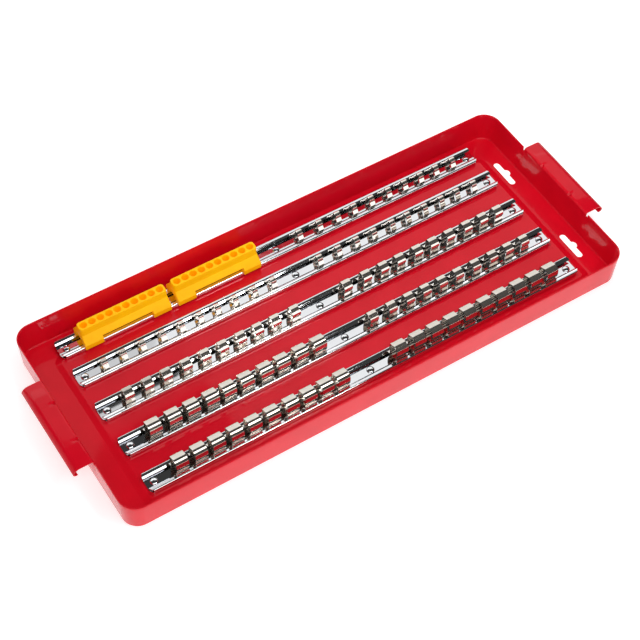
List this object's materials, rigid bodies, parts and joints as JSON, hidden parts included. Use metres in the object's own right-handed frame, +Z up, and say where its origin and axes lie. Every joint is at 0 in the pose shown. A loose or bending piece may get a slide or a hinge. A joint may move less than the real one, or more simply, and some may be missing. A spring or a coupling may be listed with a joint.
{
  "type": "socket rail tray",
  "caption": "Red pressed steel tray with curled end handles, chrome channel rails of sliding spring socket clips, and yellow push-fit bit holders.",
  "frame": {"origin": "on the surface that the tray stands on, under the middle of the tray", "axes": "+X along the rails towards the end with the hang slots, +Y towards the back rail with the bit holders, +Z up"},
  "size_m": [0.5654, 0.219, 0.0338],
  "materials": {
    "red_paint": "gloss red powder coat",
    "chrome": "bright chrome plate on steel strip",
    "spring_nickel": "bright nickel plate on spring steel strip",
    "yellow_plastic": "satin moulded plastic"
  },
  "bodies": {
    "tray_body": {"tray": "red_paint", "rail_1": "chrome", "rail_2": "chrome", "rail_3": "chrome", "rail_4": "chrome", "rail_5": "chrome"},
    "bit_holder_left": {"bit_holder_left": "yellow_plastic"},
    "bit_holder_right": {"bit_holder_right": "yellow_plastic"},
    "quarter_inch_clip_1_right_1": {"quarter_inch_clip_1_right_1": "spring_nickel"},
    "quarter_inch_clip_1_right_3": {"quarter_inch_clip_1_right_3": "spring_nickel"},
    "quarter_inch_clip_1_right_5": {"quarter_inch_clip_1_right_5": "spring_nickel"},
    "quarter_inch_clip_1_right_7": {"quarter_inch_clip_1_right_7": "spring_nickel"},
    "quarter_inch_clip_1_right_9": {"quarter_inch_clip_1_right_9": "spring_nickel"},
    "quarter_inch_clip_2_left_1": {"quarter_inch_clip_2_left_1": "spring_nickel"},
    "quarter_inch_clip_2_left_3": {"quarter_inch_clip_2_left_3": "spring_nickel"},
    "quarter_inch_clip_2_left_5": {"quarter_inch_clip_2_left_5": "spring_nickel"},
    "quarter_inch_clip_2_left_7": {"quarter_inch_clip_2_left_7": "spring_nickel"},
    "quarter_inch_clip_2_left_9": {"quarter_inch_clip_2_left_9": "spring_nickel"},
    "quarter_inch_clip_2_right_1": {"quarter_inch_clip_2_right_1": "spring_nickel"},
    "quarter_inch_clip_2_right_3": {"quarter_inch_clip_2_right_3": "spring_nickel"},
    "quarter_inch_clip_2_right_5": {"quarter_inch_clip_2_right_5": "spring_nickel"},
    "quarter_inch_clip_2_right_7": {"quarter_inch_clip_2_right_7": "spring_nickel"},
    "quarter_inch_clip_2_right_9": {"quarter_inch_clip_2_right_9": "spring_nickel"},
    "three_eighths_clip_3_left_1": {"three_eighths_clip_3_left_1": "spring_nickel"},
    "three_eighths_clip_3_left_3": {"three_eighths_clip_3_left_3": "spring_nickel"},
    "three_eighths_clip_3_left_5": {"three_eighths_clip_3_left_5": "spring_nickel"},
    "three_eighths_clip_3_left_7": {"three_eighths_clip_3_left_7": "spring_nickel"},
    "three_eighths_clip_3_left_9": {"three_eighths_clip_3_left_9": "spring_nickel"},
    "three_eighths_clip_3_right_1": {"three_eighths_clip_3_right_1": "spring_nickel"},
    "three_eighths_clip_3_right_3": {"three_eighths_clip_3_right_3": "spring_nickel"},
    "three_eighths_clip_3_right_5": {"three_eighths_clip_3_right_5": "spring_nickel"},
    "three_eighths_clip_3_right_7": {"three_eighths_clip_3_right_7": "spring_nickel"},
    "three_eighths_clip_3_right_9": {"three_eighths_clip_3_right_9": "spring_nickel"},
    "half_inch_clip_4_left_1": {"half_inch_clip_4_left_1": "spring_nickel"},
    "half_inch_clip_4_left_3": {"half_inch_clip_4_left_3": "spring_nickel"},
    "half_inch_clip_4_left_5": {"half_inch_clip_4_left_5": "spring_nickel"},
    "half_inch_clip_4_left_7": {"half_inch_clip_4_left_7": "spring_nickel"},
    "half_inch_clip_4_left_9": {"half_inch_clip_4_left_9": "spring_nickel"},
    "three_eighths_clip_4_right_1": {"three_eighths_clip_4_right_1": "spring_nickel"},
    "three_eighths_clip_4_right_3": {"three_eighths_clip_4_right_3": "spring_nickel"},
    "three_eighths_clip_4_right_5": {"three_eighths_clip_4_right_5": "spring_nickel"},
    "three_eighths_clip_4_right_7": {"three_eighths_clip_4_right_7": "spring_nickel"},
    "three_eighths_clip_4_right_9": {"three_eighths_clip_4_right_9": "spring_nickel"},
    "half_inch_clip_5_left_1": {"half_inch_clip_5_left_1": "spring_nickel"},
    "half_inch_clip_5_left_3": {"half_inch_clip_5_left_3": "spring_nickel"},
    "half_inch_clip_5_left_5": {"half_inch_clip_5_left_5": "spring_nickel"},
    "half_inch_clip_5_left_7": {"half_inch_clip_5_left_7": "spring_nickel"},
    "half_inch_clip_5_left_9": {"half_inch_clip_5_left_9": "spring_nickel"},
    "half_inch_clip_5_right_1": {"half_inch_clip_5_right_1": "spring_nickel"},
    "half_inch_clip_5_right_3": {"half_inch_clip_5_right_3": "spring_nickel"},
    "half_inch_clip_5_right_5": {"half_inch_clip_5_right_5": "spring_nickel"},
    "half_inch_clip_5_right_7": {"half_inch_clip_5_right_7": "spring_nickel"},
    "half_inch_clip_5_right_9": {"half_inch_clip_5_right_9": "spring_nickel"}
  },
  "joints": [
    {"name": "bit_holder_left_slide", "type": "slide", "parent": "tray_body", "child": "bit_holder_left", "axis": [1, 0, 0], "range_m": [-0.0175, 0.0036]},
    {"name": "bit_holder_right_slide", "type": "slide", "parent": "tray_body", "child": "bit_holder_right", "axis": [1, 0, 0], "range_m": [-0.0036, 0.02294]},
    {"name": "quarter_inch_clip_1_right_1_slide", "type": "slide", "parent": "tray_body", "child": "quarter_inch_clip_1_right_1", "axis": [1, 0, 0], "range_m": [-0.02194, 0.01611]},
    {"name": "quarter_inch_clip_1_right_3_slide", "type": "slide", "parent": "tray_body", "child": "quarter_inch_clip_1_right_3", "axis": [1, 0, 0], "range_m": [-0.01429, 0.01283]},
    {"name": "quarter_inch_clip_1_right_5_slide", "type": "slide", "parent": "tray_body", "child": "quarter_inch_clip_1_right_5", "axis": [1, 0, 0], "range_m": [-0.01356, 0.01374]},
    {"name": "quarter_inch_clip_1_right_7_slide", "type": "slide", "parent": "tray_body", "child": "quarter_inch_clip_1_right_7", "axis": [1, 0, 0], "range_m": [-0.01265, 0.01247]},
    {"name": "quarter_inch_clip_1_right_9_slide", "type": "slide", "parent": "tray_body", "child": "quarter_inch_clip_1_right_9", "axis": [1, 0, 0], "range_m": [-0.0121, 0.01338]},
    {"name": "quarter_inch_clip_2_left_1_slide", "type": "slide", "parent": "tray_body", "child": "quarter_inch_clip_2_left_1", "axis": [1, 0, 0], "range_m": [-0.01429, 0.02267]},
    {"name": "quarter_inch_clip_2_left_3_slide", "type": "slide", "parent": "tray_body", "child": "quarter_inch_clip_2_left_3", "axis": [1, 0, 0], "range_m": [-0.01247, 0.01411]},
    {"name": "quarter_inch_clip_2_left_5_slide", "type": "slide", "parent": "tray_body", "child": "quarter_inch_clip_2_left_5", "axis": [1, 0, 0], "range_m": [-0.0132, 0.01192]},
    {"name": "quarter_inch_clip_2_left_7_slide", "type": "slide", "parent": "tray_body", "child": "quarter_inch_clip_2_left_7", "axis": [1, 0, 0], "range_m": [-0.01465, 0.01338]},
    {"name": "quarter_inch_clip_2_left_9_slide", "type": "slide", "parent": "tray_body", "child": "quarter_inch_clip_2_left_9", "axis": [1, 0, 0], "range_m": [-0.01283, 0.01301]},
    {"name": "quarter_inch_clip_2_right_1_slide", "type": "slide", "parent": "tray_body", "child": "quarter_inch_clip_2_right_1", "axis": [1, 0, 0], "range_m": [-0.02194, 0.01502]},
    {"name": "quarter_inch_clip_2_right_3_slide", "type": "slide", "parent": "tray_body", "child": "quarter_inch_clip_2_right_3", "axis": [1, 0, 0], "range_m": [-0.01411, 0.01338]},
    {"name": "quarter_inch_clip_2_right_5_slide", "type": "slide", "parent": "tray_body", "child": "quarter_inch_clip_2_right_5", "axis": [1, 0, 0], "range_m": [-0.01465, 0.01174]},
    {"name": "quarter_inch_clip_2_right_7_slide", "type": "slide", "parent": "tray_body", "child": "quarter_inch_clip_2_right_7", "axis": [1, 0, 0], "range_m": [-0.01356, 0.01338]},
    {"name": "quarter_inch_clip_2_right_9_slide", "type": "slide", "parent": "tray_body", "child": "quarter_inch_clip_2_right_9", "axis": [1, 0, 0], "range_m": [-0.01192, 0.01356]},
    {"name": "three_eighths_clip_3_left_1_slide", "type": "slide", "parent": "tray_body", "child": "three_eighths_clip_3_left_1", "axis": [1, 0, 0], "range_m": [-0.01079, 0.02311]},
    {"name": "three_eighths_clip_3_left_3_slide", "type": "slide", "parent": "tray_body", "child": "three_eighths_clip_3_left_3", "axis": [1, 0, 0], "range_m": [-0.00824, 0.00878]},
    {"name": "three_eighths_clip_3_left_5_slide", "type": "slide", "parent": "tray_body", "child": "three_eighths_clip_3_left_5", "axis": [1, 0, 0], "range_m": [-0.0086, 0.00897]},
    {"name": "three_eighths_clip_3_left_7_slide", "type": "slide", "parent": "tray_body", "child": "three_eighths_clip_3_left_7", "axis": [1, 0, 0], "range_m": [-0.01042, 0.00951]},
    {"name": "three_eighths_clip_3_left_9_slide", "type": "slide", "parent": "tray_body", "child": "three_eighths_clip_3_left_9", "axis": [1, 0, 0], "range_m": [-0.00988, 0.00897]},
    {"name": "three_eighths_clip_3_right_1_slide", "type": "slide", "parent": "tray_body", "child": "three_eighths_clip_3_right_1", "axis": [1, 0, 0], "range_m": [-0.02347, 0.0117]},
    {"name": "three_eighths_clip_3_right_3_slide", "type": "slide", "parent": "tray_body", "child": "three_eighths_clip_3_right_3", "axis": [1, 0, 0], "range_m": [-0.0097, 0.0086]},
    {"name": "three_eighths_clip_3_right_5_slide", "type": "slide", "parent": "tray_body", "child": "three_eighths_clip_3_right_5", "axis": [1, 0, 0], "range_m": [-0.01006, 0.00842]},
    {"name": "three_eighths_clip_3_right_7_slide", "type": "slide", "parent": "tray_body", "child": "three_eighths_clip_3_right_7", "axis": [1, 0, 0], "range_m": [-0.00915, 0.01042]},
    {"name": "three_eighths_clip_3_right_9_slide", "type": "slide", "parent": "tray_body", "child": "three_eighths_clip_3_right_9", "axis": [1, 0, 0], "range_m": [-0.0086, 0.00787]},
    {"name": "half_inch_clip_4_left_1_slide", "type": "slide", "parent": "tray_body", "child": "half_inch_clip_4_left_1", "axis": [1, 0, 0], "range_m": [-0.00681, 0.02321]},
    {"name": "half_inch_clip_4_left_3_slide", "type": "slide", "parent": "tray_body", "child": "half_inch_clip_4_left_3", "axis": [1, 0, 0], "range_m": [-0.00499, 0.00663]},
    {"name": "half_inch_clip_4_left_5_slide", "type": "slide", "parent": "tray_body", "child": "half_inch_clip_4_left_5", "axis": [1, 0, 0], "range_m": [-0.0059, 0.00754]},
    {"name": "half_inch_clip_4_left_7_slide", "type": "slide", "parent": "tray_body", "child": "half_inch_clip_4_left_7", "axis": [1, 0, 0], "range_m": [-0.00663, 0.00499]},
    {"name": "half_inch_clip_4_left_9_slide", "type": "slide", "parent": "tray_body", "child": "half_inch_clip_4_left_9", "axis": [1, 0, 0], "range_m": [-0.00718, 0.00608]},
    {"name": "three_eighths_clip_4_right_1_slide", "type": "slide", "parent": "tray_body", "child": "three_eighths_clip_4_right_1", "axis": [1, 0, 0], "range_m": [-0.0242, 0.01097]},
    {"name": "three_eighths_clip_4_right_3_slide", "type": "slide", "parent": "tray_body", "child": "three_eighths_clip_4_right_3", "axis": [1, 0, 0], "range_m": [-0.0097, 0.0086]},
    {"name": "three_eighths_clip_4_right_5_slide", "type": "slide", "parent": "tray_body", "child": "three_eighths_clip_4_right_5", "axis": [1, 0, 0], "range_m": [-0.00878, 0.00878]},
    {"name": "three_eighths_clip_4_right_7_slide", "type": "slide", "parent": "tray_body", "child": "three_eighths_clip_4_right_7", "axis": [1, 0, 0], "range_m": [-0.00988, 0.00988]},
    {"name": "three_eighths_clip_4_right_9_slide", "type": "slide", "parent": "tray_body", "child": "three_eighths_clip_4_right_9", "axis": [1, 0, 0], "range_m": [-0.00842, 0.0086]},
    {"name": "half_inch_clip_5_left_1_slide", "type": "slide", "parent": "tray_body", "child": "half_inch_clip_5_left_1", "axis": [1, 0, 0], "range_m": [-0.00445, 0.02576]},
    {"name": "half_inch_clip_5_left_3_slide", "type": "slide", "parent": "tray_body", "child": "half_inch_clip_5_left_3", "axis": [1, 0, 0], "range_m": [-0.00572, 0.00536]},
    {"name": "half_inch_clip_5_left_5_slide", "type": "slide", "parent": "tray_body", "child": "half_inch_clip_5_left_5", "axis": [1, 0, 0], "range_m": [-0.00645, 0.00681]},
    {"name": "half_inch_clip_5_left_7_slide", "type": "slide", "parent": "tray_body", "child": "half_inch_clip_5_left_7", "axis": [1, 0, 0], "range_m": [-0.0059, 0.00572]},
    {"name": "half_inch_clip_5_left_9_slide", "type": "slide", "parent": "tray_body", "child": "half_inch_clip_5_left_9", "axis": [1, 0, 0], "range_m": [-0.00627, 0.00536]},
    {"name": "half_inch_clip_5_right_1_slide", "type": "slide", "parent": "tray_body", "child": "half_inch_clip_5_right_1", "axis": [1, 0, 0], "range_m": [-0.02376, 0.00736]},
    {"name": "half_inch_clip_5_right_3_slide", "type": "slide", "parent": "tray_body", "child": "half_inch_clip_5_right_3", "axis": [1, 0, 0], "range_m": [-0.00627, 0.00627]},
    {"name": "half_inch_clip_5_right_5_slide", "type": "slide", "parent": "tray_body", "child": "half_inch_clip_5_right_5", "axis": [1, 0, 0], "range_m": [-0.0059, 0.00645]},
    {"name": "half_inch_clip_5_right_7_slide", "type": "slide", "parent": "tray_body", "child": "half_inch_clip_5_right_7", "axis": [1, 0, 0], "range_m": [-0.00554, 0.00718]},
    {"name": "half_inch_clip_5_right_9_slide", "type": "slide", "parent": "tray_body", "child": "half_inch_clip_5_right_9", "axis": [1, 0, 0], "range_m": [-0.0059, 0.00627]}
  ]
}
